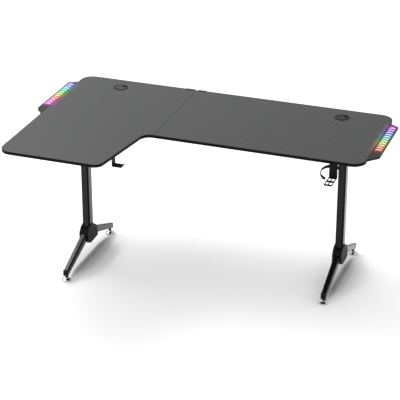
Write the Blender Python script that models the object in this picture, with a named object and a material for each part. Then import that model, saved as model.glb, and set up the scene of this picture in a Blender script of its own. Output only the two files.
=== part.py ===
"""L-shaped corner desk on two T-legs, with edge light panels, a cup holder and a headphone hook.

Run with: blender --background --python part.py
Metres, +Z up, +X along the long back edge, +Y towards the back.
The origin is on the floor, under the middle of the desk's outline.
"""
import math

import bmesh
import bpy
from mathutils import Vector
from mathutils.geometry import delaunay_2d_cdt

# ---------------------------------------------------------------- driving dimensions
DESK_HEIGHT = 0.750
DESK_WIDTH = 1.600
DESK_DEPTH = 1.000
MAIN_DEPTH = 0.600
RETURN_WIDTH = 0.600
RETURN_NOSE_WIDTH = 0.500
TOP_THICKNESS = 0.015
CORNER_RADIUS = 0.060
NOSE_RADIUS = 0.042
INNER_RADIUS = 0.047
SEAM_CORNER_RADIUS = 0.009
EDGE_BAND = 0.002
EDGE_CHAMFER = 0.0008
GAP = 0.0003
MERGE_DISTANCE = 0.000001

LEFT_X = -DESK_WIDTH / 2
RIGHT_X = DESK_WIDTH / 2
BACK_Y = DESK_DEPTH / 2
FRONT_Y = -DESK_DEPTH / 2
MAIN_FRONT_Y = BACK_Y - MAIN_DEPTH
SEAM_X = LEFT_X + RETURN_WIDTH
UNDERSIDE_Z = DESK_HEIGHT - TOP_THICKNESS

GROMMET_INSET_X = 0.233
GROMMET_INSET_Y = 0.100
GROMMET_HOLE_RADIUS = 0.0300
GROMMET_FLANGE_RADIUS = 0.0358
GROMMET_BORE_RADIUS = 0.0280
CABLE_SLOT_WIDTH = 0.018
CABLE_SLOT_DEPTH = 0.018
CABLE_SLOT_ANGLE = math.radians(48)

LEG_HALF_SPAN = 0.2665
LEG_PLACES = {
    "left": (LEFT_X + 0.2095, BACK_Y - 0.4965),
    "right": (LEFT_X + 1.4335, BACK_Y - 0.2940),
}
COLUMN_WIDTH = 0.039
COLUMN_DEPTH = 0.050
COLUMN_RADIUS = 0.009
COLUMN_WALL = 0.002
COLUMN_BOTTOM_Z = 0.100
ARM_ROOT_WIDTH = 0.030
ARM_TIP_WIDTH = 0.024
ARM_RADIUS = 0.007
ARM_WALL = 0.002
ARM_START = COLUMN_DEPTH / 2 + GAP
ARM_END = 0.2725
CAP_START = 0.245
CAP_END = 0.2795
KNEE_WIDTH = 0.046
RAIL_HEIGHT = 0.020
RAIL_WIDTH = 0.040
RAIL_WALL = 0.0015
TOP_ARM_LENGTH = 0.460
TOP_PLATE_SIZE = (0.060, 0.110, 0.004)
CROSS_RAIL_YS = (0.200, 0.040)

FOOT_PAD_RADIUS = 0.0240
FOOT_STUD_RADIUS = 0.0040
FOOT_STUD_TOP_Z = 0.050
FOOT_BORE_RADIUS = FOOT_STUD_RADIUS + GAP
FOOT_NUT_ACROSS_FLATS = 0.013
FOOT_NUT_Z = (0.0175, 0.0240)

LIGHT_OVERHANG = 0.045
LIGHT_REAR_Y = BACK_Y - 0.092
LIGHT_FRONT_Y = BACK_Y - 0.526
LIGHT_TOP_Z = DESK_HEIGHT - 0.0015
LIGHT_BOTTOM_Z = LIGHT_TOP_Z - 0.0105
LIGHT_WALL = 0.002
CHEVRON_COUNT = 11
CHEVRON_FIRST_Y = BACK_Y - 0.141
CHEVRON_PITCH = 0.0264
CHEVRON_CENTRE = 0.0215
CHEVRON_HALF_WIDTH = 0.0155
CHEVRON_ARM = 0.0115
CHEVRON_RISE = 0.0100

HOOK_FRONT_Y = BACK_Y - 0.880
HOOK_WIDTH = 0.040
HOOK_THICKNESS = 0.0026
HOOK_SCREW_OFFSET = 0.0017
SCREW_BORE_RADIUS = 0.0021
CUP_X = (LEFT_X + 1.4455, LEFT_X + 1.4835)
CUP_BACK_Y = MAIN_FRONT_Y + 0.0035
CUP_TRAY_Z = 0.668
CUP_TRAY_DEPTH = 0.093
CUP_WALL = 0.004
CUP_FLANGE_DEPTH = 0.040
CUP_SCREW_INSET = 0.022
CUP_RING_RADIUS = 0.0450
CUP_RING_Z = 0.7155
CUP_RING_RISE = 0.0100
CUP_RING_DIP = 0.0150
CUP_RING_START = 46
CUP_RING_END = 252
CUP_RING_STEPS = 26
CUP_KNOB_RADIUS = 0.0068

# ---------------------------------------------------------------- materials
COLOURS = {
    # name: (red, green, blue), roughness, metallic
    "carbon laminate": ((0.115, 0.115, 0.118), 0.45, 0.0),
    "black edge band": ((0.008, 0.008, 0.009), 0.40, 0.0),
    "black plastic": ((0.016, 0.016, 0.017), 0.48, 0.0),
    "black steel": ((0.030, 0.030, 0.032), 0.30, 0.6),
    "chrome": ((0.800, 0.800, 0.820), 0.08, 1.0),
    "zinc steel": ((0.420, 0.430, 0.440), 0.35, 1.0),
    "glowing diffuser": ((0.900, 0.900, 0.950), 0.30, 0.0),
    "circuit board": ((0.040, 0.180, 0.080), 0.50, 0.0),
}


def material(name):
    found = bpy.data.materials.get(name)
    if found:
        return found
    colour, roughness, metallic = COLOURS[name]
    new = bpy.data.materials.new(name)
    new.use_nodes = True
    shader = new.node_tree.nodes["Principled BSDF"]
    shader.inputs["Base Color"].default_value = (*colour, 1.0)
    shader.inputs["Roughness"].default_value = roughness
    shader.inputs["Metallic"].default_value = metallic
    return new


# ---------------------------------------------------------------- outlines
def offset_path(corners, inset, segments=8):
    """Points along a path of (x, y, radius) corners, moved inset to the left of its direction.

    The first and last corners are the ends. Every inset gives the same number of points.
    """
    ways = []
    for start, end in zip(corners, corners[1:]):
        ways.append((Vector(end[:2]) - Vector(start[:2])).normalized())
    points = [Vector(corners[0][:2]) + left_of(ways[0]) * inset]
    for corner, before, after in zip(corners[1:-1], ways, ways[1:]):
        points += corner_arc(Vector(corner[:2]), before, after, corner[2], inset, segments)
    points.append(Vector(corners[-1][:2]) + left_of(ways[-1]) * inset)
    return points


def left_of(way):
    return Vector((-way.y, way.x))


def corner_arc(corner, before, after, radius, inset, segments):
    """The rounded corner of a path, or its sharp corner where nothing of the radius is left."""
    turn = math.atan2(before.cross(after), before.dot(after))
    side = math.copysign(1.0, turn)
    if radius == 0 or inset * side >= radius:
        mitre = (left_of(before) + left_of(after)) / (1 + before.dot(after))
        return [corner + mitre * inset]
    reach = radius * math.tan(abs(turn) / 2)
    centre = corner - before * reach + left_of(before) * radius * side
    start = -left_of(before) * (radius * side - inset)
    return [centre + rotated(start, turn * step / segments) for step in range(segments + 1)]


def rotated(vector, angle):
    c, s = math.cos(angle), math.sin(angle)
    return Vector((vector.x * c - vector.y * s, vector.x * s + vector.y * c))


def closed_outline(corners, inset=0.0, segments=8):
    """A closed, counter-clockwise outline of (x, y, radius) corners."""
    count = len(corners)
    points = []
    for index, (x, y, radius) in enumerate(corners):
        corner = Vector((x, y))
        before = (corner - Vector(corners[index - 1][:2])).normalized()
        after = (Vector(corners[(index + 1) % count][:2]) - corner).normalized()
        points += corner_arc(corner, before, after, radius, inset, segments)
    return points


def rectangle(x0, y0, x1, y1, radius=0.0, segments=5):
    corners = [(x0, y0, radius), (x1, y0, radius), (x1, y1, radius), (x0, y1, radius)]
    return closed_outline(corners, 0.0, segments)


def circle(x, y, radius, segments=24):
    angles = [2 * math.pi * step / segments for step in range(segments)]
    return [Vector((x + radius * math.cos(a), y + radius * math.sin(a))) for a in angles]


def strip_outline(corners, thickness, segments=4):
    """The outline of a bent strip of even thickness whose middle follows the corners."""
    left = offset_path(corners, thickness / 2, segments)
    right = offset_path(corners, -thickness / 2, segments)
    return right + left[::-1]


# ---------------------------------------------------------------- solids
PLANES = {
    # outline (u, v) and depth w, mapped to x, y, z
    "XY": lambda u, v, w: (u, v, w),
    "YZ": lambda u, v, w: (w, u, v),
    "XZ": lambda u, v, w: (u, -w, v),
}


def finish_mesh(name, bm, place=(0.0, 0.0, 0.0), surface="black plastic", parent=None):
    bmesh.ops.recalc_face_normals(bm, faces=bm.faces)
    mesh = bpy.data.meshes.new(name)
    bm.to_mesh(mesh)
    bm.free()
    obj = bpy.data.objects.new(name, mesh)
    bpy.context.scene.collection.objects.link(obj)
    mesh.materials.append(material(surface))
    mesh.shade_smooth()
    mesh.set_sharp_from_angle(angle=math.radians(32))
    obj.parent = parent
    obj.location = place
    return obj


def prism(name, outline, low, high, plane="XY", holes=(), **finish):
    """An outline with holes, pushed from low to high along the plane's normal."""
    bm = bmesh.new()
    to_space = PLANES[plane]
    loops = [list(outline)] + [list(hole) for hole in holes]
    rings = []
    for depth in (low, high):
        rings.append([[bm.verts.new(to_space(p.x, p.y, depth)) for p in loop] for loop in loops])
    for bottom, top in zip(*rings):
        wall(bm, bottom, top)
    for ring in rings:
        cap_loops(bm, ring, loops)
    return finish_mesh(name, bm, **finish)


def wall(bm, bottom, top):
    count = len(bottom)
    for i in range(count):
        j = (i + 1) % count
        bm.faces.new((bottom[i], bottom[j], top[j], top[i]))


def cap_loops(bm, rings, loops):
    """Fill the flat area inside the first loop and outside the others with triangles."""
    verts = [vert for ring in rings for vert in ring]
    flat = [Vector((p.x, p.y)) for loop in loops for p in loop]
    edges = []
    for loop in loops:
        start, count = len(edges), len(loop)
        edges += [(start + i, start + (i + 1) % count) for i in range(count)]
    points, _, triangles, sources, _, _ = delaunay_2d_cdt(flat, edges, [], 0, MERGE_DISTANCE)
    for triangle in triangles:
        middle = sum((points[i] for i in triangle), Vector((0.0, 0.0))) / 3
        if inside(middle, loops[0]) and not any(inside(middle, hole) for hole in loops[1:]):
            bm.faces.new([verts[sources[i][0]] for i in triangle])


def inside(point, loop):
    """Whether a point lies inside a closed loop."""
    crossings = 0
    for a, b in zip(loop, list(loop[1:]) + [loop[0]]):
        if (a.y > point.y) != (b.y > point.y):
            x = a.x + (point.y - a.y) * (b.x - a.x) / (b.y - a.y)
            crossings += x > point.x
    return crossings % 2 == 1


def stepped_plate(name, outline, bosses, z_levels, **finish):
    """A flat plate with raised bosses on it, as one body."""
    low, middle, high = z_levels
    bm = bmesh.new()
    base = [bm.verts.new((p.x, p.y, low)) for p in outline]
    rim = [bm.verts.new((p.x, p.y, middle)) for p in outline]
    wall(bm, base, rim)
    cap_loops(bm, [base], [outline])
    feet = [[bm.verts.new((p.x, p.y, middle)) for p in boss] for boss in bosses]
    cap_loops(bm, [rim] + feet, [outline] + list(bosses))
    for boss, foot in zip(bosses, feet):
        crown = [bm.verts.new((p.x, p.y, high)) for p in boss]
        wall(bm, foot, crown)
        cap_loops(bm, [crown], [boss])
    return finish_mesh(name, bm, **finish)


def window_lid(name, outer, inner, windows, z_levels, **finish):
    """An upside-down tray: a top with windows, and a wall round its rim."""
    low, ceiling, top = z_levels
    bm = bmesh.new()
    outer_low = [bm.verts.new((p.x, p.y, low)) for p in outer]
    outer_top = [bm.verts.new((p.x, p.y, top)) for p in outer]
    inner_low = [bm.verts.new((p.x, p.y, low)) for p in inner]
    inner_top = [bm.verts.new((p.x, p.y, ceiling)) for p in inner]
    window_low = [[bm.verts.new((p.x, p.y, ceiling)) for p in loop] for loop in windows]
    window_top = [[bm.verts.new((p.x, p.y, top)) for p in loop] for loop in windows]
    wall(bm, outer_low, outer_top)
    wall(bm, inner_low, inner_top)
    for lower, upper in zip(window_low, window_top):
        wall(bm, lower, upper)
    cap_loops(bm, [outer_low, inner_low], [outer, inner])
    cap_loops(bm, [inner_top] + window_low, [inner] + list(windows))
    cap_loops(bm, [outer_top] + window_top, [outer] + list(windows))
    return finish_mesh(name, bm, **finish)


def lathe(name, profile, segments=36, **finish):
    """A closed (radius, height) profile turned about Z; a radius of 0 is on the axis."""
    bm = bmesh.new()
    columns = []
    for radius, height in profile:
        if radius == 0:
            columns.append([bm.verts.new((0.0, 0.0, height))] * segments)
        else:
            ring = circle(0.0, 0.0, radius, segments)
            columns.append([bm.verts.new((p.x, p.y, height)) for p in ring])
    for current, following in zip(columns, columns[1:] + columns[:1]):
        for i in range(segments):
            j = (i + 1) % segments
            corners = [current[i], current[j], following[j], following[i]]
            unique = list(dict.fromkeys(corners))
            if len(unique) > 2:
                bm.faces.new(unique)
    return finish_mesh(name, bm, **finish)


def hollow_loft(name, sections, **finish):
    """A hollow bar with open ends: each section is an (outer, inner) pair of point loops."""
    bm = bmesh.new()
    rows = []
    for outer, inner in sections:
        rows.append(([bm.verts.new(p) for p in outer], [bm.verts.new(p) for p in inner]))
    for (outer_a, inner_a), (outer_b, inner_b) in zip(rows, rows[1:]):
        wall(bm, outer_a, outer_b)
        wall(bm, inner_a, inner_b)
    for outer, inner in (rows[0], rows[-1]):
        wall(bm, outer, inner)
    return finish_mesh(name, bm, **finish)


def carve(target, operation, tool):
    """Apply a Boolean to the target for good, and take the tool away."""
    tool.hide_render = True
    tool.display_type = "WIRE"
    cut = target.modifiers.new("carve", "BOOLEAN")
    cut.operation = operation
    cut.object = tool
    bake(target)
    bpy.data.objects.remove(tool)


def soften(target, width, segments=2):
    """Round the sharp edges of the target."""
    bevel = target.modifiers.new("soft edges", "BEVEL")
    bevel.width = width
    bevel.segments = segments
    bevel.limit_method = "ANGLE"
    bevel.angle_limit = math.radians(35)
    bake(target)
    target.data.shade_smooth()
    target.data.set_sharp_from_angle(angle=math.radians(38))


def bake(target):
    bpy.context.view_layer.update()
    graph = bpy.context.evaluated_depsgraph_get()
    mesh = bpy.data.meshes.new_from_object(target.evaluated_get(graph))
    target.modifiers.clear()
    target.data = mesh


def frame_empty(name, place):
    empty = bpy.data.objects.new(name, None)
    bpy.context.scene.collection.objects.link(empty)
    empty.location = place
    return empty


# ---------------------------------------------------------------- desk top
def return_path():
    """Outer edge of the left board, from the seam's back end round to its front end."""
    seam = SEAM_X - GAP / 2
    nose_x = LEFT_X + RETURN_NOSE_WIDTH
    slant = (RETURN_WIDTH - RETURN_NOSE_WIDTH) * 0.584
    return [
        (seam, BACK_Y - SEAM_CORNER_RADIUS, 0.0),
        (seam, BACK_Y, SEAM_CORNER_RADIUS),
        (LEFT_X, BACK_Y, CORNER_RADIUS),
        (LEFT_X, FRONT_Y, CORNER_RADIUS),
        (nose_x, FRONT_Y, NOSE_RADIUS),
        (nose_x + slant, MAIN_FRONT_Y, INNER_RADIUS),
        (seam, MAIN_FRONT_Y, 0.0),
    ]


def main_path():
    """Outer edge of the right board, from the seam's front end round to its back end."""
    seam = SEAM_X + GAP / 2
    return [
        (seam, MAIN_FRONT_Y, 0.0),
        (RIGHT_X, MAIN_FRONT_Y, CORNER_RADIUS),
        (RIGHT_X, BACK_Y, CORNER_RADIUS),
        (seam, BACK_Y, SEAM_CORNER_RADIUS),
        (seam, BACK_Y - SEAM_CORNER_RADIUS, 0.0),
    ]


def board_outline(path, seam_x):
    """The board inside its edge band, filled out to the seam."""
    inset = EDGE_BAND + GAP
    points = offset_path(path, inset)
    notch = BACK_Y - SEAM_CORNER_RADIUS - GAP
    if path[0][1] > path[-1][1]:
        step = [Vector((seam_x, points[-1].y)), Vector((seam_x, notch)), Vector((points[0].x, notch))]
    else:
        step = [Vector((points[-1].x, notch)), Vector((seam_x, notch)), Vector((seam_x, points[0].y))]
    return points[:-1] + step if path[0][1] > path[-1][1] else points[1:] + step


def edge_band(name, path):
    """The plastic strip round a board's edge, with small chamfers top and bottom."""
    c = EDGE_CHAMFER
    section = [
        (EDGE_BAND, UNDERSIDE_Z), (c, UNDERSIDE_Z), (0.0, UNDERSIDE_Z + c),
        (0.0, DESK_HEIGHT - c), (c, DESK_HEIGHT), (EDGE_BAND, DESK_HEIGHT),
    ]
    bm = bmesh.new()
    rows = []
    for inset, height in section:
        rows.append([bm.verts.new((p.x, p.y, height)) for p in offset_path(path, inset)])
    for row, following in zip(rows, rows[1:] + rows[:1]):
        for i in range(len(row) - 1):
            bm.faces.new((row[i], row[i + 1], following[i + 1], following[i]))
    for end in (0, -1):
        bm.faces.new([row[end] for row in rows])
    return finish_mesh(name, bm, surface="black edge band")


def desk_top():
    boards = (
        ("left", return_path(), SEAM_X - GAP / 2, LEFT_X + GROMMET_INSET_X),
        ("right", main_path(), SEAM_X + GAP / 2, RIGHT_X - GROMMET_INSET_X),
    )
    grommet_y = BACK_Y - GROMMET_INSET_Y
    for side, path, seam, grommet_x in boards:
        hole = circle(grommet_x, grommet_y, GROMMET_HOLE_RADIUS, 32)
        outline = board_outline(path, seam)
        prism(side + "_board", outline, UNDERSIDE_Z, DESK_HEIGHT, holes=[hole],
              surface="carbon laminate")
        edge_band(side + "_edge_band", path)
        grommet(side, grommet_x, grommet_y)


def grommet(side, x, y):
    flange = GROMMET_FLANGE_RADIUS
    bore = GROMMET_BORE_RADIUS
    sleeve = GROMMET_HOLE_RADIUS - GAP
    seat = DESK_HEIGHT + GAP
    ledge = DESK_HEIGHT - 0.0045
    profile = [
        (bore, seat + 0.0016), (bore + 0.0004, seat + 0.0020), (flange - 0.0016, seat + 0.0018),
        (flange, seat + 0.0004), (flange, seat), (sleeve, seat), (sleeve, UNDERSIDE_Z - 0.003),
        (bore, UNDERSIDE_Z - 0.003), (bore, ledge - 0.0015), (bore - 0.0025, ledge - 0.0015),
        (bore - 0.0025, ledge), (bore, ledge),
    ]
    lathe(side + "_grommet_ring", profile, 32, place=(x, y, 0.0))
    outline = cap_outline(bore - GAP)
    cap = prism(side + "_grommet_cap", outline, ledge + GAP, DESK_HEIGHT + 0.0014, place=(x, y, 0.0))
    soften(cap, 0.0004, 1)


def cap_outline(radius, segments=32):
    """A disc with a round-ended cable slot let into its rim."""
    half = CABLE_SLOT_WIDTH / 2
    edge = math.asin(half / radius)
    points = []
    for step in range(segments + 1):
        angle = edge + (2 * math.pi - 2 * edge) * step / segments
        points.append(Vector((radius * math.cos(angle), radius * math.sin(angle))))
    centre_x = radius - CABLE_SLOT_DEPTH + half
    for step in range(11):
        angle = -math.pi / 2 - math.pi * step / 10
        points.append(Vector((centre_x + half * math.cos(angle), half * math.sin(angle))))
    return [rotated(p, CABLE_SLOT_ANGLE) for p in points]


# ---------------------------------------------------------------- edge light panels
def light_outline(inset=0.0):
    corners = [
        (GAP, LIGHT_FRONT_Y, 0.002),
        (LIGHT_OVERHANG, LIGHT_FRONT_Y + 0.0475, 0.022),
        (LIGHT_OVERHANG, LIGHT_REAR_Y - 0.0240, 0.013),
        (GAP, LIGHT_REAR_Y, 0.002),
    ]
    return closed_outline(corners, inset, 5)


def chevron(y, grow=0.0):
    """An arrow-head bar pointing to the back, centred on the lit strip."""
    half = CHEVRON_HALF_WIDTH + grow
    thick = CHEVRON_ARM / 2 + grow
    rise = CHEVRON_RISE / 2
    shape = [
        (-half, -rise - thick), (0.0, rise - thick), (half, -rise - thick),
        (half, -rise + thick), (0.0, rise + thick), (-half, -rise + thick),
    ]
    return [Vector((CHEVRON_CENTRE + u, y + v)) for u, v in shape]


def on_side(points, sign):
    """Move points measured outwards from the desk's edge to the left or right edge."""
    moved = [Vector((sign * (RIGHT_X + p.x), p.y)) for p in points]
    return moved if sign > 0 else moved[::-1]


def light_panel(side, sign):
    outer = on_side(light_outline(), sign)
    inner = on_side(light_outline(LIGHT_WALL), sign)
    rows = [CHEVRON_FIRST_Y - CHEVRON_PITCH * index for index in range(CHEVRON_COUNT)]
    windows = [on_side(chevron(y), sign) for y in rows]
    lit = [on_side(chevron(y, -GAP), sign) for y in rows]
    ceiling = LIGHT_TOP_Z - 0.0016
    window_lid(side + "_light_housing", outer, inner, windows,
               (LIGHT_BOTTOM_Z, ceiling, LIGHT_TOP_Z))

    first, last = rows[0] + 0.014, rows[-1] - 0.014
    strip = on_side(rectangle(0.0040, last, 0.0390, first, 0.002, 3), sign)
    stepped_plate(side + "_light_diffuser", strip, lit,
                  (ceiling - 0.0022, ceiling - GAP, LIGHT_TOP_Z - 0.0002),
                  surface="glowing diffuser")

    half = 0.0018
    chips = [on_side(rectangle(CHEVRON_CENTRE - half, y - half, CHEVRON_CENTRE + half, y + half),
                     sign) for y in rows]
    tape = on_side(rectangle(CHEVRON_CENTRE - 0.005, last + 0.004, CHEVRON_CENTRE + 0.005,
                             first - 0.004), sign)
    stepped_plate(side + "_light_led_strip", tape, chips,
                  (LIGHT_BOTTOM_Z + 0.0023, LIGHT_BOTTOM_Z + 0.0035, LIGHT_BOTTOM_Z + 0.0047),
                  surface="circuit board")

    lid = on_side(light_outline(LIGHT_WALL + GAP), sign)
    prism(side + "_light_base_cover", lid, LIGHT_BOTTOM_Z, LIGHT_BOTTOM_Z + 0.0018)
    light_bracket(side, sign)
    light_socket(side, sign)


def light_bracket(side, sign):
    """A joggled steel strip from under the board to under the light panel."""
    thick = 0.002
    under_board = UNDERSIDE_Z - GAP - thick / 2
    under_panel = LIGHT_BOTTOM_Z - GAP - thick / 2
    corners = [
        (-0.045, under_board, 0.0), (0.0025, under_board, 0.001),
        (0.0075, under_panel, 0.001), (0.034, under_panel, 0.0),
    ]
    outline = [Vector((sign * (RIGHT_X + p.x), p.y)) for p in strip_outline(corners, thick, 2)]
    outline = outline if sign > 0 else outline[::-1]
    centre = (LIGHT_REAR_Y + LIGHT_FRONT_Y) / 2
    prism(side + "_light_bracket", outline, -centre - 0.09, -centre + 0.09, "XZ",
          surface="black steel")


def light_socket(side, sign):
    """The small power socket under the panel's front end."""
    x = sign * (RIGHT_X + 0.020)
    y = LIGHT_FRONT_Y + 0.072
    low, high = LIGHT_BOTTOM_Z - 0.0090, LIGHT_BOTTOM_Z - GAP
    body = prism(side + "_light_socket", rectangle(-0.006, low, 0.006, high, 0.0012, 2),
                 -0.009, 0.009, "XZ", place=(x, y, 0.0))
    middle = (low + high) / 2
    mouth = prism("socket mouth", circle(0.0, middle, 0.0033, 16), 0.001, 0.020, "XZ",
                  place=(x, y, 0.0))
    carve(body, "DIFFERENCE", mouth)


# ---------------------------------------------------------------- legs
def arm_top(offset):
    return 0.1475 - 0.410 * (offset - 0.050)


def arm_bottom(offset):
    return 0.1055 - 0.360 * (offset - 0.050)


def arm_half_width(offset):
    share = (offset - ARM_START) / (ARM_END - ARM_START)
    return (ARM_ROOT_WIDTH + (ARM_TIP_WIDTH - ARM_ROOT_WIDTH) * share) / 2


def bar_section(half_width, low, high, radius, inset):
    return rectangle(-half_width + inset, low + inset, half_width - inset, high - inset,
                     max(radius - inset, 0.0005), 5)


def arm_section(offset, way, inset):
    """The arm's outline at a distance from the column, shrunk by inset."""
    flat = bar_section(arm_half_width(offset), arm_bottom(offset), arm_top(offset), ARM_RADIUS, inset)
    return [(p.x, way * offset, p.y) for p in flat]


def stud_bore(way, parent):
    return prism("stud bore", circle(0.0, way * LEG_HALF_SPAN, FOOT_BORE_RADIUS, 16),
                 0.0, FOOT_STUD_TOP_Z + 0.001, parent=parent)


def leg_arm(name, way, parent):
    """A tapered box-section arm, sloping from the column down to its foot."""
    sections = []
    for offset in (ARM_START, ARM_END):
        sections.append([arm_section(offset, way, inset) for inset in (0.0, ARM_WALL)])
    arm = hollow_loft(name, sections, surface="black steel", parent=parent)
    carve(arm, "DIFFERENCE", stud_bore(way, parent))


def end_cap(name, way, parent):
    """The plastic plug in an arm's end, bored from below for the foot's stud."""
    start = ARM_END + GAP
    floor = arm_bottom(ARM_END) + 0.0005
    corners = [
        (start, floor, 0.0002), (CAP_END, floor, 0.0020), (CAP_END, arm_top(CAP_END), 0.0035),
        (start, arm_top(start), 0.0002),
    ]
    outline = [Vector((way * p.x, p.y)) for p in closed_outline(corners, 0.0, 4)]
    outline = outline if way > 0 else outline[::-1]
    half = ARM_TIP_WIDTH / 2
    cap = prism(name, outline, -half, half, "YZ", parent=parent)
    soften(cap, 0.002, 2)

    bm = bmesh.new()
    inset = ARM_WALL + GAP
    ends = (CAP_START, start + 0.002)
    loops = [[bm.verts.new(p) for p in arm_section(offset, way, inset)] for offset in ends]
    wall(bm, loops[0], loops[1])
    for loop in loops:
        bm.faces.new(loop)
    carve(cap, "UNION", finish_mesh("plug", bm, parent=parent))
    carve(cap, "DIFFERENCE", stud_bore(way, parent))


def knee_cover(name, sign, parent):
    """One half of the moulded cover that hides where the column meets the arms."""
    corners = [
        (-0.056, 0.103, 0.003), (-0.024, 0.088, 0.006), (0.064, 0.091, 0.005),
        (0.066, 0.112, 0.004), (0.047, 0.156, 0.006), (0.006, 0.184, 0.008),
        (-0.010, 0.185, 0.008), (-0.036, 0.176, 0.008), (-0.056, 0.150, 0.006),
    ]
    inner, outer = ARM_ROOT_WIDTH / 2 + GAP, KNEE_WIDTH / 2
    span = sorted((sign * inner, sign * outer))
    half = prism(name, closed_outline(corners, 0.0, 3), span[0], span[1], "YZ", parent=parent)
    front = 0.0545
    bridge = [Vector(p) for p in (
        (-ARM_START, arm_top(ARM_START) + 0.001), (-front, arm_top(front) + 0.001),
        (-front, 0.154), (-0.041, 0.166), (-ARM_START, 0.169),
    )]
    bridge_span = sorted((sign * GAP / 2, sign * (inner + 0.002)))
    across = prism("bridge", bridge[::-1], bridge_span[0], bridge_span[1], "YZ", parent=parent)
    carve(half, "UNION", across)
    room = prism("column room", rectangle(-ARM_START, 0.05, ARM_START, 0.25),
                 -COLUMN_WIDTH / 2 - GAP, COLUMN_WIDTH / 2 + GAP, "YZ", parent=parent)
    carve(half, "DIFFERENCE", room)
    soften(half, 0.0012, 1)


def foot(name, y, parent):
    """A levelling foot: polished pad, collar and threaded stud, turned in one."""
    r, stud = FOOT_PAD_RADIUS, FOOT_STUD_RADIUS
    profile = [
        (0.0, 0.0), (r - 0.0015, 0.0), (r, 0.0015), (r, 0.0035), (r - 0.0020, 0.0062),
        (r - 0.0070, 0.0085), (0.0125, 0.0100), (0.0085, 0.0112), (0.0080, 0.0150),
        (stud, 0.0158), (stud, FOOT_STUD_TOP_Z - 0.001), (stud - 0.001, FOOT_STUD_TOP_Z),
        (0.0, FOOT_STUD_TOP_Z),
    ]
    return lathe(name, profile, 24, place=(0.0, y, 0.0), surface="chrome", parent=parent)


def foot_nut(name, y, parent):
    corner_radius = FOOT_NUT_ACROSS_FLATS / math.sqrt(3)
    hexagon = circle(0.0, 0.0, corner_radius, 6)
    hole = circle(0.0, 0.0, FOOT_BORE_RADIUS, 18)
    return prism(name, hexagon, FOOT_NUT_Z[0], FOOT_NUT_Z[1], holes=[hole],
                 place=(0.0, y, 0.0), surface="black steel", parent=parent)


def box_tube(name, axis, span, width, low, high, place=(0.0, 0.0), parent=None):
    """A hollow rectangular bar along X or Y with open ends."""
    sections = []
    for along in span:
        loops = []
        for inset in (0.0, RAIL_WALL):
            flat = bar_section(width / 2, low, high, 0.003, inset)
            if axis == "Y":
                loops.append([(p.x, along, p.y) for p in flat])
            else:
                loops.append([(along, p.x, p.y) for p in flat])
        sections.append(loops)
    return hollow_loft(name, sections, place=(*place, 0.0), surface="black steel", parent=parent)


def leg(side):
    x, y = LEG_PLACES[side]
    stand = frame_empty(side + "_leg_frame", (x, y, 0.0))
    arm_high = UNDERSIDE_Z - GAP
    arm_low = arm_high - RAIL_HEIGHT
    half = TOP_ARM_LENGTH / 2
    box_tube(side + "_top_arm", "Y", (-half, half), RAIL_WIDTH, arm_low, arm_high, parent=stand)

    width, depth, thick = TOP_PLATE_SIZE
    plate_high = arm_low - GAP
    prism(side + "_top_plate", rectangle(-width / 2, -depth / 2, width / 2, depth / 2, 0.006),
          plate_high - thick, plate_high, surface="black steel", parent=stand)

    loops = []
    for inset in (0.0, COLUMN_WALL):
        w, d = COLUMN_WIDTH / 2 - inset, COLUMN_DEPTH / 2 - inset
        loops.append(rectangle(-w, -d, w, d, COLUMN_RADIUS - inset, 6))
    sections = []
    for height in (COLUMN_BOTTOM_Z, plate_high - thick - GAP):
        sections.append([[(p.x, p.y, height) for p in loop] for loop in loops])
    hollow_loft(side + "_column", sections, surface="black steel", parent=stand)

    for word, sign in (("outer", 1), ("inner", -1)):
        turned = sign if side == "right" else -sign
        knee_cover(side + "_knee_cover_" + word, turned, stand)
    for word, way in (("front", -1), ("rear", 1)):
        leg_arm(side + "_" + word + "_arm", way, stand)
        end_cap(side + "_" + word + "_end_cap", way, stand)
        foot(side + "_" + word + "_foot", way * LEG_HALF_SPAN, stand)
        foot_nut(side + "_" + word + "_foot_nut", way * LEG_HALF_SPAN, stand)


# ---------------------------------------------------------------- frame under the top
def under_frame():
    high = UNDERSIDE_Z - GAP
    start = LEG_PLACES["left"][0] + RAIL_WIDTH / 2 + GAP
    end = LEG_PLACES["right"][0] - RAIL_WIDTH / 2 - GAP
    for word, y in zip(("rear", "front"), CROSS_RAIL_YS):
        box_tube(word + "_cross_rail", "X", (start, end), RAIL_WIDTH, high - RAIL_HEIGHT, high,
                 place=(0.0, y))
    for word, y in (("rear", BACK_Y - 0.080), ("front", MAIN_FRONT_Y + 0.060)):
        plate = rectangle(-0.060, -0.020, 0.060, 0.020, 0.005, 3)
        holes = [circle(u, 0.0, 0.0025, 12) for u in (-0.048, -0.018, 0.018, 0.048)]
        prism(word + "_joining_plate", plate, high - 0.003, high, holes=holes,
              place=(SEAM_X, y, 0.0), surface="zinc steel")


def seam_clips():
    """Two black clips pressed over the back edge, one each side of the seam."""
    thick = 0.0011
    depth = 0.0130
    over = DESK_HEIGHT + GAP + thick / 2
    under = UNDERSIDE_Z - GAP - thick / 2
    back = BACK_Y + GAP + thick / 2
    corners = [(back - depth, under, 0.0), (back, under, 0.0009), (back, over, 0.0009),
               (back - depth, over, 0.0)]
    outline = strip_outline(corners, thick, 3)
    for word, near, far in (("left", -0.0105, -0.0560), ("right", 0.0105, 0.0490)):
        low, high = sorted((SEAM_X + near, SEAM_X + far))
        prism(word + "_seam_clip", outline, low, high, "YZ")


# ---------------------------------------------------------------- accessories
def mounting_screw(name, x, y, head_top):
    """A short pan-head screw pointing up through a flange."""
    profile = [
        (0.0, head_top - 0.0022), (0.0022, head_top - 0.0022), (0.0038, head_top - 0.0012),
        (0.0040, head_top), (0.0018, head_top), (0.0018, UNDERSIDE_Z - GAP),
        (0.0, UNDERSIDE_Z - GAP),
    ]
    return lathe(name, profile, 16, place=(x, y, 0.0), surface="zinc steel")


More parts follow.
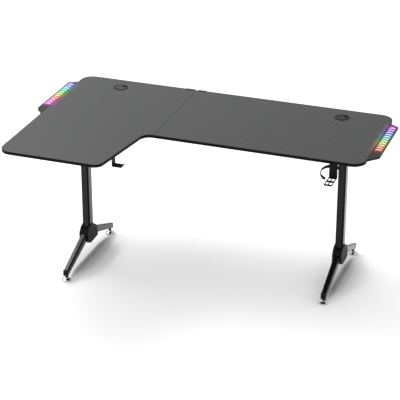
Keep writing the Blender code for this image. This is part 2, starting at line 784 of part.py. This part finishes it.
def headphone_hook():
    thick = HOOK_THICKNESS
    flange = UNDERSIDE_Z - GAP - thick / 2
    strap = LEFT_X + 0.5115
    corners = [
        (strap - 0.050, flange, 0.0), (strap, flange, 0.004), (strap, 0.6968, 0.004),
        (strap + 0.0445, 0.6968, 0.003), (strap + 0.0540, 0.7072, 0.0),
    ]
    front = HOOK_FRONT_Y
    hook = prism("headphone_hook", strip_outline(corners, thick, 4), -front - HOOK_WIDTH, -front,
                 "XZ", surface="black plastic")
    screw_y = front + HOOK_WIDTH / 2 - HOOK_SCREW_OFFSET
    for word, back in (("outer", 0.016), ("inner", 0.036)):
        hole = prism("screw hole", circle(strap - back, screw_y, SCREW_BORE_RADIUS, 12), 0.70, 0.75)
        carve(hook, "DIFFERENCE", hole)
        mounting_screw("hook_" + word + "_screw", strap - back, screw_y, flange - thick / 2 - GAP)


def cup_ring(name):
    """An open arm round the cup: tall at the plate, thin at its side, thick at its tip."""
    bm = bmesh.new()
    rows = []
    for step in range(CUP_RING_STEPS + 1):
        degrees = CUP_RING_START + (CUP_RING_END - CUP_RING_START) * step / CUP_RING_STEPS
        past_side = max(0.0, degrees - 180) / (CUP_RING_END - 180)
        before_side = min(1.0, max(0.0, 180 - degrees) / 90) ** 0.5
        half_tall = 0.0020 + max(0.0062 * before_side, 0.0042 * past_side)
        half_thick = 0.0015 + 0.0022 * past_side
        row = []
        for radial, up in ((-1, -1), (1, -1), (1, 1), (-1, 1)):
            x, y, z = ring_point(degrees, radial * half_thick)
            row.append(bm.verts.new((x, y, z + up * half_tall)))
        rows.append(row)
    for row, following in zip(rows, rows[1:]):
        wall(bm, row, following)
    bm.faces.new(rows[0])
    bm.faces.new(rows[-1])
    bmesh.ops.triangulate(bm, faces=bm.faces)
    return finish_mesh(name, bm)


def ring_point(degrees, outward=0.0):
    """A point on the ring's middle line, which is highest at the plate and dips to the front."""
    angle = math.radians(degrees)
    radius = CUP_RING_RADIUS + outward
    lift = (CUP_RING_RISE if degrees < 180 else CUP_RING_DIP) * math.sin(angle)
    centre_y = CUP_BACK_Y - CUP_WALL / 2 - CUP_RING_RADIUS
    return (sum(CUP_X) / 2 + radius * math.cos(angle), centre_y + radius * math.sin(angle),
            CUP_RING_Z + lift)


def cup_knob(name):
    """The ball at the short arm's tip."""
    r = CUP_KNOB_RADIUS
    turns = [-math.pi / 2 + math.pi * step / 8 for step in range(1, 8)]
    profile = [(0.0, -r)] + [(r * math.cos(t), r * math.sin(t)) for t in turns] + [(0.0, r)]
    return lathe(name, profile, 16, place=ring_point(CUP_RING_START))


def cup_holder():
    """One moulding: flange under the top, back plate, pierced tray and an open ring."""
    x0, x1 = CUP_X
    back = CUP_BACK_Y
    front = back - CUP_WALL
    floor = CUP_TRAY_Z
    high = UNDERSIDE_Z - GAP
    flange = high - CUP_WALL
    end = back + CUP_FLANGE_DEPTH
    profile = [
        (front, floor - 0.001, 0.001), (back, floor - 0.001, 0.001), (back, flange, 0.003),
        (end, flange, 0.0005), (end, high, 0.0005), (front, high, 0.0005),
    ]
    holder = prism("cup_holder", closed_outline(profile, 0.0, 3), x0, x1, "YZ")

    tray_front = back - CUP_TRAY_DEPTH
    middle = (x0 + x1) / 2
    holes = []
    for low_x, high_x in ((x0 + 0.0035, middle - 0.0015), (middle + 0.0015, x1 - 0.0035)):
        for low_y in (tray_front + 0.010, tray_front + 0.050):
            holes.append(rectangle(low_x, low_y, high_x, low_y + 0.028, 0.002, 2))
    outline = rectangle(x0 + GAP, tray_front, x1 - GAP, back - 0.002, 0.0015, 2)
    tray = prism("tray", outline, floor, floor + CUP_WALL, holes=holes)
    carve(holder, "UNION", tray)
    carve(holder, "UNION", cup_ring("ring"))
    carve(holder, "UNION", cup_knob("knob"))

    screw_y = back + CUP_SCREW_INSET
    for word, x in (("left", x0 + 0.009), ("right", x1 - 0.009)):
        hole = prism("screw hole", circle(x, screw_y, SCREW_BORE_RADIUS, 12), 0.70, 0.75)
        carve(holder, "DIFFERENCE", hole)
        mounting_screw("cup_holder_" + word + "_screw", x, screw_y, flange - GAP)


# ---------------------------------------------------------------- build
def main():
    for old in list(bpy.data.objects):
        bpy.data.objects.remove(old)
    desk_top()
    seam_clips()
    for side, sign in (("left", -1), ("right", 1)):
        light_panel(side, sign)
        leg(side)
    under_frame()
    headphone_hook()
    cup_holder()


main()
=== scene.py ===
"""Looks for the corner desk: finishes for every piece, studio light, floor and camera."""

import math

import bpy
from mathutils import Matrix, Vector


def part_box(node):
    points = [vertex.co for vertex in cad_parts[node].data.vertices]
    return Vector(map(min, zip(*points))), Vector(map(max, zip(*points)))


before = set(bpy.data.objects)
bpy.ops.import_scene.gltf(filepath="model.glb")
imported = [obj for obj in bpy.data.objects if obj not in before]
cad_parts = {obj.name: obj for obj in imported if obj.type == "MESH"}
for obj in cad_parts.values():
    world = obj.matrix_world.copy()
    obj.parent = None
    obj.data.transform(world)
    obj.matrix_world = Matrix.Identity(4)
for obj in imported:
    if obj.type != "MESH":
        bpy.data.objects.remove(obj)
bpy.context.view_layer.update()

scene = bpy.context.scene
SIDES = ("left", "right")
ENDS = ("front", "rear")
WHITE = (1.0, 1.0, 1.0, 1.0)
BLACK = (0.0, 0.0, 0.0, 1.0)

# laminate: width of one tow, noise scales across and along its fibres, and the line
# where the boards meet, dark out to the first distance and gone by the second
TOW = 0.0040
ACROSS_FIBRES = 5200
ALONG_FIBRES = 160
SEAM_FADE = (0.0006, 0.0024)

# light panels: spacing, slope and place of the arrow-shaped cells, and how their
# white core fades out from a cell's middle line and from the panel's middle
CELL_PITCH = 0.0264
CELL_SLOPE = 0.0100 / 0.0155
CELL_INSET = 0.0090
CORE_FADE = (0.0012, 0.0054)
CORE_END_FADE = (0.0085, 0.0150)
DIFFUSER_STRENGTH = 1.05

# painted glow beside a panel, given off as emission by the board and housing in the
# panel's colours: how far from the panel's middle it keeps its full strength, over what
# distance it then fades, where it starts and stops along the panel, and how strong it is
BOARD_GLOW_FULL = 0.012
BOARD_GLOW_FADE = 0.048
BOARD_GLOW_STRENGTH = 0.34
HOUSING_GLOW_FULL = 0.009
HOUSING_GLOW_FADE = 0.026
HOUSING_GLOW_STRENGTH = {"left": 0.55, "right": 0.36}
GLOW_PAST_FRONT = 0.030
GLOW_SHORT_OF_REAR = 0.005
GLOW_END_FADE = 0.045

# lit colours of each light panel, from its front end to its rear end
CELL_HUES = {
    "left": [
        (1.0, 0.05, 0.80), (1.0, 0.06, 0.86), (1.0, 0.08, 0.48), (1.0, 0.20, 0.14),
        (1.0, 0.42, 0.05), (0.58, 0.84, 0.04), (0.06, 0.86, 0.10), (0.03, 0.84, 0.42),
        (0.02, 0.74, 0.88), (0.06, 0.40, 1.0), (0.30, 0.24, 1.0),
    ],
    "right": [
        (1.0, 0.08, 0.03), (1.0, 0.22, 0.04), (1.0, 0.54, 0.03), (0.86, 0.86, 0.05),
        (0.46, 0.90, 0.10), (0.08, 0.86, 0.46), (0.04, 0.78, 0.90), (0.08, 0.42, 1.0),
        (0.14, 0.18, 1.0), (0.48, 0.08, 1.0), (0.88, 0.08, 0.88),
    ],
}

# studio: floor, white surroundings, softbox over the desk and lamp for the floor alone
FLOOR_REACH = 40.0
FLOOR_DROP = 0.0002
WORLD_STRENGTH = 1.12
SOFTBOX_PLACE = (-1.6, 0.9, 2.7)
SOFTBOX_AIM = (-0.5, 0.1, 0.4)
SOFTBOX_SIZE = (1.6, 1.6)
SOFTBOX_POWER = 56.0
FLOOR_LAMP_PLACE = (-0.15, 0.10, 3.0)
FLOOR_LAMP_SIZE = (0.7, 0.7)
FLOOR_LAMP_POWER = 6.0

# floor flags: height, half width, gap to each foot, shift to the right, and the share
# of the length that tapers and of the width left at the ends
FLAG_SIZES = {
    "low": (0.018, 0.027, 0.030, 0.008),
    "wide": (0.085, 0.055, 0.080, 0.020),
}
FLAG_TAPER = 0.2
FLAG_END_WIDTH = 0.4

# camera
LENS = 140.33
SENSOR_WIDTH = 36.0
CLIP_END = 200.0
CAMERA_PLACE = (2.2607, -6.2501, 3.6063)
CAMERA_TILT = math.radians(64.28)
CAMERA_TURN = math.radians(19.92)

# eased edges: points closer than the first are joined, edges sharper than the second rounded
WELD_DISTANCE = 0.00001
EASED_ANGLE = math.radians(38)


# ---------------------------------------------------------------- shader tools
def plug(tree, socket, value):
    """Feed a socket with a link, a number or a colour."""
    if isinstance(value, Signal):
        tree.links.new(value.socket, socket)
    elif isinstance(value, bpy.types.NodeSocket):
        tree.links.new(value, socket)
    else:
        socket.default_value = value


def add_node(tree, kind, settings, sockets):
    """Add a node, set it up, then feed its sockets, each known by name or number."""
    node = tree.nodes.new("ShaderNode" + kind)
    for name, value in settings.items():
        setattr(node, name, value)
    for key, value in sockets.items():
        plug(tree, node.inputs[key], value)
    return node


class Signal:
    """A number that varies over a surface; sums and products of it add Math nodes."""

    def __init__(self, tree, socket):
        self.tree = tree
        self.socket = socket

    def math(self, operation, *others):
        sockets = dict(enumerate((self, *others)))
        node = add_node(self.tree, "Math", {"operation": operation}, sockets)
        return Signal(self.tree, node.outputs[0])

    def __add__(self, other):
        return self.math("ADD", other)

    __radd__ = __add__

    def __mul__(self, other):
        return self.math("MULTIPLY", other)

    __rmul__ = __mul__

    def __sub__(self, other):
        return self.math("SUBTRACT", other)

    def __rsub__(self, other):
        return (self * -1) + other

    def __truediv__(self, other):
        return self.math("DIVIDE", other)

    def __pow__(self, other):
        return self.math("POWER", other)

    def __mod__(self, other):
        return self.math("FLOORED_MODULO", other)

    def __abs__(self):
        return self.math("ABSOLUTE")

    def floor(self):
        return self.math("FLOOR")

    def less(self, other):
        return self.math("LESS_THAN", other)

    def greater_of(self, other):
        return self.math("MAXIMUM", other)

    def smooth(self, low, high):
        """0 below low, 1 above high and a soft step between."""
        settings = {"interpolation_type": "SMOOTHSTEP"}
        sockets = {"Value": self, "From Min": low, "From Max": high}
        node = add_node(self.tree, "MapRange", settings, sockets)
        return Signal(self.tree, node.outputs["Result"])


class Finish:
    """One material under construction."""

    def __init__(self, name, specular=0.5, metallic=0.0):
        self.material = bpy.data.materials.new(name)
        self.material.use_nodes = True
        self.tree = self.material.node_tree
        self.shader = self.tree.nodes["Principled BSDF"]
        self.set("Specular IOR Level", specular)
        self.set("Metallic", metallic)

    def set(self, name, value):
        plug(self.tree, self.shader.inputs[name], value)

    def node(self, kind, settings=None, **values):
        """Add a node and feed its sockets by name (spaces written as _)."""
        sockets = {name.replace("_", " "): value for name, value in values.items()}
        return add_node(self.tree, kind, settings or {}, sockets)

    def point(self):
        return self.node("TexCoord").outputs["Object"]

    def place(self):
        """Where a point lies at rest, as three signals in metres."""
        parts = self.node("SeparateXYZ", Vector=self.point())
        return [Signal(self.tree, out) for out in parts.outputs]

    def noise(self, scale, detail=2.0, roughness=0.5):
        node = self.node("TexNoise", Vector=self.point(), Scale=scale, Detail=detail,
                         Roughness=roughness)
        return Signal(self.tree, node.outputs["Fac"])

    def stretched_noise(self, scales, detail):
        """Noise drawn out along an axis: small numbers make long streaks."""
        x, y, z = self.place()
        where = self.node("CombineXYZ", X=x * scales[0], Y=y * scales[1], Z=z * scales[2])
        node = self.node("TexNoise", Vector=where.outputs[0], Scale=1.0, Detail=detail)
        return Signal(self.tree, node.outputs["Fac"])

    def blend(self, share, first, second):
        """Mix two colours by a share from 0 to 1."""
        sockets = {0: share, 6: first, 7: second}
        return add_node(self.tree, "Mix", {"data_type": "RGBA"}, sockets).outputs[2]

    def ramp(self, share, stops):
        """A colour ramp of (position, colour) stops."""
        node = self.node("ValToRGB", Fac=share)
        stripes = node.color_ramp.elements
        stripes[0].position, stripes[0].color = stops[0]
        stripes[1].position, stripes[1].color = stops[-1]
        for position, colour in stops[1:-1]:
            stripes.new(position).color = colour
        return node.outputs["Color"]

    def bump(self, height, strength, distance):
        node = self.node("Bump", Height=height, Strength=strength, Distance=distance)
        self.set("Normal", node.outputs["Normal"])

    def flatness(self):
        """1 on the flat sides of the columns and arms, 0 on their rounded corners."""
        normal = self.node("TexCoord").outputs["Normal"]
        parts = self.node("SeparateXYZ", Vector=normal)
        sideways = abs(Signal(self.tree, parts.outputs["X"]))
        lengthways = (1 - sideways * sideways) ** 0.5
        return sideways.greater_of(lengthways).smooth(0.93, 0.9995)

    def painted_edge_highlight(self, radius):
        """Painted highlight on outer edges, from the angle between the true and the rounded
        normal.
        """
        rounded = self.node("Bevel", {"samples": 4}, Radius=radius).outputs["Normal"]
        true = self.node("NewGeometry").outputs["Normal"]
        settings = {"operation": "DOT_PRODUCT"}
        dot = add_node(self.tree, "VectorMath", settings, {0: rounded, 1: true})
        return (1 - Signal(self.tree, dot.outputs["Value"])).smooth(0.01, 0.12)


def grey(level, tint=0.0):
    """An opaque near-neutral colour, a little cool where tint is positive."""
    return (level * (1 - tint), level, level * (1 + tint), 1.0)


# ---------------------------------------------------------------- coloured light and its painted glow
def lit_span(side):
    """Where along Y a light panel's diffuser starts and ends."""
    low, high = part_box(side + "_light_diffuser")
    return low[1], high[1]


def hue_ramp(finish, side, y):
    """The light panel's colour at a distance along it."""
    first, last = lit_span(side)
    hues = CELL_HUES[side]
    share = (y - first) / (last - first)
    stops = [((index + 0.5) / len(hues), (*hue, 1.0)) for index, hue in enumerate(hues)]
    return finish.ramp(share, stops)


def glow_near(finish, side, full, fade):
    """How strongly the painted glow of a panel shows on the surface beside it."""
    low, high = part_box(side + "_light_diffuser")
    x, y, _ = finish.place()
    centre = (low[0] + high[0]) / 2
    beside = 1 - (abs(x - centre) - full).smooth(0.0, fade)
    past_front = (y - (low[1] - GLOW_PAST_FRONT)).smooth(0.0, GLOW_END_FADE)
    past_rear = (y - (high[1] - GLOW_SHORT_OF_REAR)).smooth(0.0, GLOW_END_FADE)
    along = past_front * (1 - past_rear)
    return beside * beside * along


def paint_panel_glow(finish, side, y, glow, strength):
    """Paint the panel's glow onto a surface as emission in the panel's colours."""
    finish.set("Emission Color", finish.blend(glow, BLACK, hue_ramp(finish, side, y)))
    finish.set("Emission Strength", strength)


# ---------------------------------------------------------------- finishes
def seam_line():
    """How far along X the two boards meet."""
    return (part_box("left_board")[1][0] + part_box("right_board")[0][0]) / 2


def laminate(side):
    """Woven carbon-look laminate: fine tows in a broken twill under a satin film."""
    f = Finish(side + " carbon laminate", specular=0.07)
    low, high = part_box(side + "_board")
    middle = (low[2] + high[2]) / 2
    x, y, z = f.place()
    across, along = x / TOW, y / TOW
    turn = (across.floor() + (across / 2).floor() * 2 + along.floor()) % 4
    warp_up = turn.less(1.5)
    warp_round = ((across % 1) - 0.5) * 2
    weft_round = ((along % 1) - 0.5) * 2
    warp_fibres = f.stretched_noise((ACROSS_FIBRES, ALONG_FIBRES, ALONG_FIBRES), 1.0)
    weft_fibres = f.stretched_noise((ALONG_FIBRES, ACROSS_FIBRES, ALONG_FIBRES), 1.0)
    warp_shade = (1 - warp_round * warp_round * 0.55) * (0.74 + warp_fibres * 0.52)
    weft_shade = (1 - weft_round * weft_round * 0.55) * (0.74 + weft_fibres * 0.52)
    weave = warp_shade * warp_up + weft_shade * 0.80 * (1 - warp_up)
    stripe = ((across / 2).floor() % 2) * 0.34 + 0.83
    mottle = f.noise(9.0, detail=3.0)
    joint = 1 - abs(x - seam_line()).smooth(*SEAM_FADE)
    shade = weave * stripe * (0.92 + mottle * 0.16) * (1 - joint * 0.85)
    colour = f.blend(shade, grey(0.011), grey(0.071, 0.01))
    chips = f.noise(260.0, detail=4.0, roughness=0.7)
    board_core = f.blend(chips, grey(0.020), grey(0.045))
    top = z.smooth(middle, middle + 0.0015)
    # painted glow of the light panel on the board's top face, given off as emission
    glow = glow_near(f, side, BOARD_GLOW_FULL, BOARD_GLOW_FADE) * top
    f.set("Base Color", f.blend(top, board_core, colour))
    paint_panel_glow(f, side, y, glow, BOARD_GLOW_STRENGTH)
    f.set("Roughness", 0.44 + mottle * 0.10 - warp_up * 0.05)
    f.bump(weave * top + f.noise(900.0) * 0.15, strength=0.35, distance=0.00012)
    return f.material


def edge_banding():
    """Black edge strip with a faint satin grain and a painted highlight along its corner."""
    f = Finish("black edge band", specular=0.07)
    grain = f.stretched_noise((900, 900, 90), 2.0)
    highlight_share = f.painted_edge_highlight(0.0009)
    # painted highlight along the band's corner, broken up by the grain
    f.set("Base Color", f.blend(highlight_share * (0.25 + grain * 0.4), grey(0.0045), grey(0.022)))
    f.set("Roughness", 0.30 + grain * 0.16)
    f.bump(grain, strength=0.12, distance=0.00015)
    return f.material


def moulded_plastic(name, level, roughness):
    """Fine spark-eroded texture of injection-moulded plastic."""
    f = Finish(name, specular=0.07)
    grain = f.noise(1500.0, detail=3.0, roughness=0.6)
    mottle = f.noise(28.0)
    highlight_share = f.painted_edge_highlight(0.0008)
    colour = f.blend(mottle, grey(level * 0.8), grey(level * 1.2))
    # painted highlight on the outer edges
    f.set("Base Color", f.blend(highlight_share * 0.5, colour, grey(level * 2.4 + 0.01)))
    f.set("Roughness", roughness - 0.06 + grain * 0.14)
    f.bump(grain, strength=0.25, distance=0.00012)
    return f.material


def powder_coat():
    """Semi-gloss black powder coat, its shine weaker round the tubes' corners as painted shade
    that stands in for dark reflections there.
    """
    f = Finish("black powder coat", specular=0.04)
    f.set("Coat IOR", 1.30)
    f.set("Coat Roughness", 0.16)
    peel = f.noise(420.0, roughness=0.45)
    dust = f.noise(35.0, detail=5.0, roughness=0.6)
    f.set("Base Color", f.blend(dust, grey(0.0030), grey(0.0065)))
    # painted shade: less coat on the rounded corners darkens their reflections
    f.set("Coat Weight", f.flatness() * (0.78 + dust * 0.28))
    f.set("Roughness", 0.18 + dust * 0.12)
    f.bump(peel, strength=0.10, distance=0.00020)
    return f.material


def polished_chrome():
    """Bright plating with faint turning rings and handling haze."""
    f = Finish("polished chrome", metallic=1.0)
    haze = f.noise(60.0, detail=4.0, roughness=0.6)
    rings = f.stretched_noise((90, 90, 5200), 1.0)
    f.set("Base Color", f.blend(haze, grey(0.34), grey(0.62, 0.01)))
    f.set("Roughness", 0.04 + haze * 0.10)
    f.bump(rings, strength=0.06, distance=0.00010)
    return f.material


def zinc_plate():
    """Bluish zinc with the crystal spangle of the bath."""
    f = Finish("bright zinc", metallic=1.0)
    spangle = f.node("TexVoronoi", Vector=f.point(), Scale=260.0).outputs["Color"]
    cells = Signal(f.tree, f.node("SeparateColor", Color=spangle).outputs[0])
    f.set("Base Color", f.blend(cells, grey(0.34, 0.03), grey(0.52, 0.04)))
    f.set("Roughness", 0.22 + cells * 0.20)
    f.bump(f.noise(700.0), strength=0.15, distance=0.00010)
    return f.material


def circuit_board():
    """Green lacquer over copper tracks, with pale chips standing on it."""
    f = Finish("circuit board")
    low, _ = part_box("left_light_led_strip")
    x, _, z = f.place()
    chip = z.smooth(low[2] + 0.0015, low[2] + 0.0017)
    tracks = ((x / 0.0016) % 1).less(0.35)
    green = f.blend(tracks, (0.010, 0.085, 0.030, 1.0), (0.030, 0.160, 0.060, 1.0))
    f.set("Base Color", f.blend(chip, green, grey(0.72)))
    f.set("Roughness", 0.25 + f.noise(500.0) * 0.20)
    f.bump(tracks, strength=0.20, distance=0.00005)
    return f.material


def panel_plastic(side):
    """The light panel's black housing, with the painted glow of its own cells on its upper
    part.
    """
    f = Finish(side + " light housing", specular=0.06)
    low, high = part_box(side + "_light_housing")
    _, y, z = f.place()
    grain = f.noise(1400.0, detail=3.0, roughness=0.6)
    upper = z.smooth(low[2] + 0.0035, high[2] - 0.0005)
    # painted glow of the cells on the housing's upper part, given off as emission
    glow = glow_near(f, side, HOUSING_GLOW_FULL, HOUSING_GLOW_FADE) * upper
    f.set("Base Color", f.blend(grain, grey(0.014), grey(0.026)))
    paint_panel_glow(f, side, y, glow, HOUSING_GLOW_STRENGTH[side])
    f.set("Roughness", 0.34 + grain * 0.14)
    f.bump(grain, strength=0.22, distance=0.00012)
    return f.material


def lit_diffuser(side):
    """Milky arrow-shaped cells lit from below, whitest along the middle of each arm."""
    f = Finish(side + " lit diffuser", specular=0.10)
    low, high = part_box(side + "_light_diffuser")
    x, y, z = f.place()
    raised = z.smooth(high[2] - 0.0023, high[2] - 0.0003)
    milk = f.noise(180.0, detail=3.0)
    sideways = abs(x - (low[0] + high[0]) / 2)
    row = ((y + sideways * CELL_SLOPE - (high[1] - CELL_INSET)) / CELL_PITCH + 0.5) % 1
    off_line = abs(row - 0.5) * CELL_PITCH
    core = (1 - off_line.smooth(*CORE_FADE)) * (1 - sideways.smooth(*CORE_END_FADE))
    hot = f.blend(core * (0.56 + milk * 0.22) + 0.10, hue_ramp(f, side, y), WHITE)
    f.set("Base Color", f.blend(milk, grey(0.10), grey(0.16)))
    f.set("Emission Color", f.blend(raised, grey(0.15), hot))
    f.set("Emission Strength", DIFFUSER_STRENGTH)
    f.set("Roughness", 0.24 + milk * 0.14)
    f.bump(milk, strength=0.10, distance=0.0003)
    return f.material


# ---------------------------------------------------------------- finishes on pieces
def wear(material, *nodes):
    """Give CAD pieces their finish."""
    for name in nodes:
        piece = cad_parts[name]
        piece.data.materials.clear()
        piece.data.materials.append(material)


def ease_edges(width, segments, *nodes):
    """Round a piece's hard edges so that they catch the light."""
    for name in nodes:
        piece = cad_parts[name]
        piece.modifiers.new("joined faces", "WELD").merge_threshold = WELD_DISTANCE
        bevel = piece.modifiers.new("eased edges", "BEVEL")
        bevel.width = width
        bevel.segments = segments
        bevel.limit_method = "ANGLE"
        bevel.angle_limit = EASED_ANGLE
        bevel.harden_normals = True


def dress_desk():
    plastic = moulded_plastic("black moulded plastic", 0.008, 0.46)
    ring_plastic = moulded_plastic("grommet ring plastic", 0.005, 0.50)
    # one cap plastic in a lit and a shaded copy: the left cap painted lighter, the right
    # darker
    lit_and_shaded_cap_plastic = {
        "left": moulded_plastic("left grommet cap plastic painted lighter", 0.042, 0.50),
        "right": moulded_plastic("right grommet cap plastic painted darker", 0.024, 0.50),
    }
    steel = powder_coat()
    chrome = polished_chrome()
    zinc = zinc_plate()
    board_green = circuit_board()
    banding = edge_banding()
    for side in SIDES:
        wear(laminate(side), side + "_board")
        wear(banding, side + "_edge_band")
        wear(ring_plastic, side + "_grommet_ring")
        wear(lit_and_shaded_cap_plastic[side], side + "_grommet_cap")
        wear(panel_plastic(side), side + "_light_housing")
        wear(lit_diffuser(side), side + "_light_diffuser")
        wear(board_green, side + "_light_led_strip")
        wear(plastic, side + "_light_base_cover", side + "_light_socket", side + "_seam_clip",
             side + "_knee_cover_outer", side + "_knee_cover_inner")
        wear(steel, side + "_light_bracket", side + "_column", side + "_top_plate",
             side + "_top_arm")
        for end in ENDS:
            wear(steel, f"{side}_{end}_arm", f"{side}_{end}_foot_nut")
            wear(plastic, f"{side}_{end}_end_cap")
            wear(chrome, f"{side}_{end}_foot")
    for end in ENDS:
        wear(steel, end + "_cross_rail")
        wear(zinc, end + "_joining_plate")
    wear(zinc, "hook_outer_screw", "hook_inner_screw", "cup_holder_left_screw",
         "cup_holder_right_screw")
    wear(plastic, "headphone_hook", "cup_holder")
    for side in SIDES:
        ease_edges(0.0005, 2, side + "_edge_band", side + "_light_housing")
        ease_edges(0.0010, 3, side + "_knee_cover_outer", side + "_knee_cover_inner")
        ease_edges(0.0003, 2, side + "_seam_clip")
    ease_edges(0.0004, 2, "headphone_hook", "cup_holder")


# ---------------------------------------------------------------- studio
def studio_floor():
    mesh = bpy.data.meshes.new("studio floor")
    corners = [(-FLOOR_REACH, -FLOOR_REACH, 0), (FLOOR_REACH, -FLOOR_REACH, 0),
               (FLOOR_REACH, FLOOR_REACH, 0), (-FLOOR_REACH, FLOOR_REACH, 0)]
    mesh.from_pydata(corners, [], [(0, 1, 2, 3)])
    plane = bpy.data.objects.new("studio floor", mesh)
    scene.collection.objects.link(plane)
    plane.location.z = -FLOOR_DROP
    f = Finish("pale studio floor", specular=0.2)
    f.set("Roughness", 0.75)
    f.set("Base Color", f.blend(f.noise(1.5), grey(0.90), grey(0.92)))
    mesh.materials.append(f.material)
    return plane


def square_lamp(name, place, size, power):
    light = bpy.data.lights.new(name, "AREA")
    light.shape = "RECTANGLE"
    light.size, light.size_y = size
    light.energy = power
    lamp = bpy.data.objects.new(name, light)
    scene.collection.objects.link(lamp)
    lamp.location = place
    return lamp


def white_studio():
    """Even white surroundings and a softbox high behind the left end of the desk."""
    world = bpy.data.worlds.new("white studio")
    world.use_nodes = True
    background = world.node_tree.nodes["Background"]
    background.inputs["Color"].default_value = WHITE
    background.inputs["Strength"].default_value = WORLD_STRENGTH
    scene.world = world
    scene.view_settings.view_transform = "Standard"
    lamp = square_lamp("overhead softbox", SOFTBOX_PLACE, SOFTBOX_SIZE, SOFTBOX_POWER)
    aim = Vector(SOFTBOX_AIM) - Vector(SOFTBOX_PLACE)
    lamp.rotation_euler = aim.to_track_quat("-Z", "Y").to_euler()


def floor_flags():
    """Black cards low under the arms that deepen the shadow where each leg stands."""
    return [flag(side, word, *size) for side in SIDES for word, size in FLAG_SIZES.items()]


def flag(side, word, height, half_width, inset, shift):
    """A black card between the two feet of a leg, out of the camera's sight."""
    name = f"{side} {word} floor flag"
    centres = []
    for end in ENDS:
        low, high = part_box(f"{side}_{end}_foot")
        centres.append(((low[0] + high[0]) / 2 + shift, (low[1] + high[1]) / 2))
    (x, front), (_, rear) = centres
    near, far = front + inset, rear - inset
    taper = (far - near) * FLAG_TAPER
    rows = ((FLAG_END_WIDTH, near), (1.0, near + taper), (1.0, far - taper),
            (FLAG_END_WIDTH, far))
    outline = [(x - half_width * share, y) for share, y in rows]
    outline += [(2 * x - px, y) for px, y in reversed(outline)]
    corners = [(px, y, height) for px, y in outline]
    mesh = bpy.data.meshes.new(name)
    mesh.from_pydata(corners, [], [tuple(range(len(corners)))])
    card = bpy.data.objects.new(name, mesh)
    scene.collection.objects.link(card)
    f = Finish(name + " cloth", specular=0.0)
    f.set("Roughness", 0.9)
    f.set("Base Color", f.blend(f.noise(300.0), grey(0.002), grey(0.004)))
    mesh.materials.append(f.material)
    card.visible_camera = False
    card.visible_glossy = False
    return card


def floor_lamp(plane, flags):
    """A lamp overhead for the floor alone, whose light only the legs and flags interrupt."""
    lamp = square_lamp("floor lamp", FLOOR_LAMP_PLACE, FLOOR_LAMP_SIZE, FLOOR_LAMP_POWER)
    lit = bpy.data.collections.new("lit by the floor lamp")
    lit.objects.link(plane)
    lamp.light_linking.receiver_collection = lit
    blocking = bpy.data.collections.new("blocking the floor lamp")
    for side in SIDES:
        for name in ("column", "front_arm", "rear_arm", "knee_cover_outer", "knee_cover_inner",
                     "front_end_cap", "rear_end_cap", "front_foot", "rear_foot"):
            blocking.objects.link(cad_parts[f"{side}_{name}"])
    for card in flags:
        blocking.objects.link(card)
    lamp.light_linking.blocker_collection = blocking


def camera():
    data = bpy.data.cameras.new("camera")
    data.lens = LENS
    data.sensor_width = SENSOR_WIDTH
    data.clip_end = CLIP_END
    eye = bpy.data.objects.new("camera", data)
    scene.collection.objects.link(eye)
    eye.location = CAMERA_PLACE
    eye.rotation_euler = (CAMERA_TILT, 0.0, CAMERA_TURN)
    scene.camera = eye


dress_desk()
ground = studio_floor()
white_studio()
floor_lamp(ground, floor_flags())
camera()
